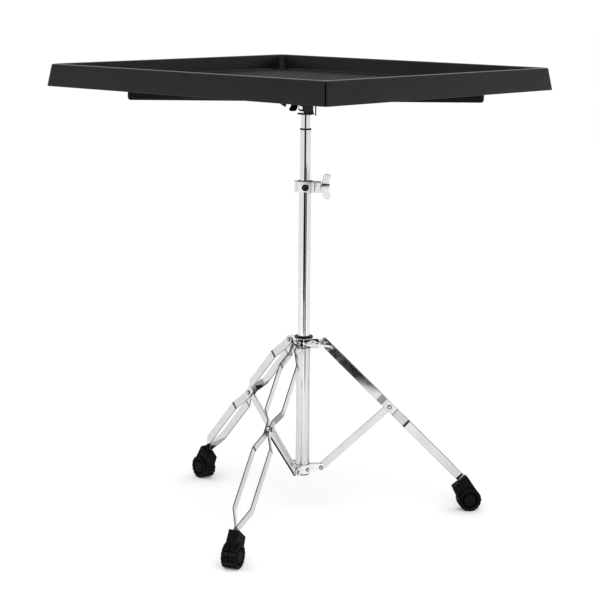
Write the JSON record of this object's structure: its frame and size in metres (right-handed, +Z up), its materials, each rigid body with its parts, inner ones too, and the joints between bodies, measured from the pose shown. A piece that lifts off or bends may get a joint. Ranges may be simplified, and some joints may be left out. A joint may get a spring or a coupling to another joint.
{
  "type": "percussion table",
  "caption": "Shallow black tray with a raised rim on a telescoping chrome mast and a folding double-braced tripod with rubber feet.",
  "frame": {"origin": "centre of the footprint's bounding box on the floor", "axes": "+Z up along the mast, +X along the tray's longer side, +Y along its shorter side"},
  "size_m": [0.7376, 0.6952, 0.9264],
  "materials": {
    "tray_plastic": "satin black, fine moulded grain",
    "black_steel": "semi-gloss black paint on folded steel",
    "chrome": "bright chrome plate",
    "black_nylon": "moulded black nylon",
    "foot_rubber": "matte black moulded rubber",
    "zinc_fastener": "bright zinc-plated steel"
  },
  "bodies": {
    "base": {"base_tube": "chrome", "lower_sleeve": "chrome", "base_plug": "black_nylon", "bottom_bracket": "chrome", "clamp_body": "chrome", "clamp_bushing": "black_nylon", "clamp_pin": "zinc_fastener", "clamp_bolt": "black_steel", "clamp_key_screw": "black_nylon", "band_rivet_1": "zinc_fastener", "band_rivet_2": "zinc_fastener", "band_rivet_3": "zinc_fastener", "lug_rivet_1a": "zinc_fastener", "lug_rivet_1b": "zinc_fastener", "lug_rivet_2a": "zinc_fastener", "lug_rivet_2b": "zinc_fastener", "lug_rivet_3a": "zinc_fastener", "lug_rivet_3b": "zinc_fastener"},
    "mast": {"mid_tube": "chrome", "top_tube": "chrome", "mid_tube_ring": "black_nylon"},
    "tray": {"tray_shell": "tray_plastic", "tray_bar": "black_steel", "mount_plate": "black_steel", "mount_socket": "black_steel", "mount_saddle": "black_steel", "mount_washer": "black_nylon", "mount_tab": "black_steel", "tray_screw_1": "zinc_fastener", "tray_screw_2": "zinc_fastener", "tray_screw_3": "zinc_fastener", "tray_screw_4": "zinc_fastener"},
    "tray_bolt": {"mount_wing_bolt": "black_steel"},
    "height_nut": {"clamp_wing_nut": "chrome"},
    "slider": {"leg_slider": "chrome", "slider_ring": "black_nylon"},
    "slider_bolt": {"slider_wing_bolt": "chrome"},
    "leg_1": {"leg_1_strip_a": "chrome", "leg_1_strip_b": "chrome", "leg_1_top_rivet": "zinc_fastener", "leg_1_mid_rivet": "zinc_fastener", "foot_1": "foot_rubber"},
    "brace_1": {"brace_1": "chrome", "brace_1_pin": "zinc_fastener"},
    "leg_2": {"leg_2_strip_a": "chrome", "leg_2_strip_b": "chrome", "leg_2_top_rivet": "zinc_fastener", "leg_2_mid_rivet": "zinc_fastener", "foot_2": "foot_rubber"},
    "brace_2": {"brace_2": "chrome", "brace_2_pin": "zinc_fastener"},
    "leg_3": {"leg_3_strip_a": "chrome", "leg_3_strip_b": "chrome", "leg_3_top_rivet": "zinc_fastener", "leg_3_mid_rivet": "zinc_fastener", "foot_3": "foot_rubber"},
    "brace_3": {"brace_3": "chrome", "brace_3_pin": "zinc_fastener"}
  },
  "joints": [
    {"name": "mast_height", "type": "slide", "parent": "base", "child": "mast", "axis": [0, 0, 1], "range_m": [-0.1, 0.16]},
    {"name": "tray_turn", "type": "hinge", "parent": "mast", "child": "tray", "pos_m": [0.0085, 0.0118, 0.8303], "axis": [0, 0, 1], "continuous": true},
    {"name": "tray_bolt_turn", "type": "hinge", "parent": "tray", "child": "tray_bolt", "pos_m": [-0.00207, 0.00232, 0.8538], "axis": [-0.7443, -0.6678, 0], "continuous": true},
    {"name": "height_nut_turn", "type": "hinge", "parent": "base", "child": "height_nut", "pos_m": [0.04892, 0.01542, 0.6895], "axis": [0.7443, 0.6678, 0], "continuous": true},
    {"name": "slider_slide", "type": "slide", "parent": "base", "child": "slider", "axis": [0, 0, 1], "range_m": [0, 0.1189]},
    {"name": "slider_bolt_turn", "type": "hinge", "parent": "slider", "child": "slider_bolt", "pos_m": [0.04232, 0.00608, 0.36815], "axis": [0.986, -0.1668, 0], "continuous": true},
    {"name": "leg_1_fold", "type": "hinge", "parent": "slider", "child": "leg_1", "pos_m": [0.03559, 0.04455, 0.3665], "axis": [-0.7705, 0.6374, 0], "range_deg": [0, 39.71]},
    {"name": "brace_1_fold", "type": "hinge", "parent": "leg_1", "child": "brace_1", "pos_m": [0.12324, 0.15049, 0.2275], "axis": [-0.7705, 0.6374, 0], "range_deg": [-81.92, 0]},
    {"name": "leg_2_fold", "type": "hinge", "parent": "slider", "child": "leg_2", "pos_m": [-0.0334, 0.01889, 0.3665], "axis": [-0.1668, -0.986, 0], "range_deg": [0, 39.71]},
    {"name": "brace_2_fold", "type": "hinge", "parent": "leg_2", "child": "brace_2", "pos_m": [-0.16898, 0.04182, 0.2275], "axis": [-0.1668, -0.986, 0], "range_deg": [-81.92, 0]},
    {"name": "leg_3_fold", "type": "hinge", "parent": "slider", "child": "leg_3", "pos_m": [0.02331, -0.02803, 0.3665], "axis": [0.9373, 0.3486, 0], "range_deg": [0, 39.71]},
    {"name": "brace_3_fold", "type": "hinge", "parent": "leg_3", "child": "brace_3", "pos_m": [0.07124, -0.15691, 0.2275], "axis": [0.9373, 0.3486, 0], "range_deg": [-81.92, 0]}
  ],
  "couplings": [
    {"joint": "leg_1_fold", "follows": "slider_slide", "rad_per_m": 5.826},
    {"joint": "brace_1_fold", "follows": "slider_slide", "rad_per_m": -12.022},
    {"joint": "leg_2_fold", "follows": "slider_slide", "rad_per_m": 5.826},
    {"joint": "brace_2_fold", "follows": "slider_slide", "rad_per_m": -12.022},
    {"joint": "leg_3_fold", "follows": "slider_slide", "rad_per_m": 5.826},
    {"joint": "brace_3_fold", "follows": "slider_slide", "rad_per_m": -12.022}
  ]
}
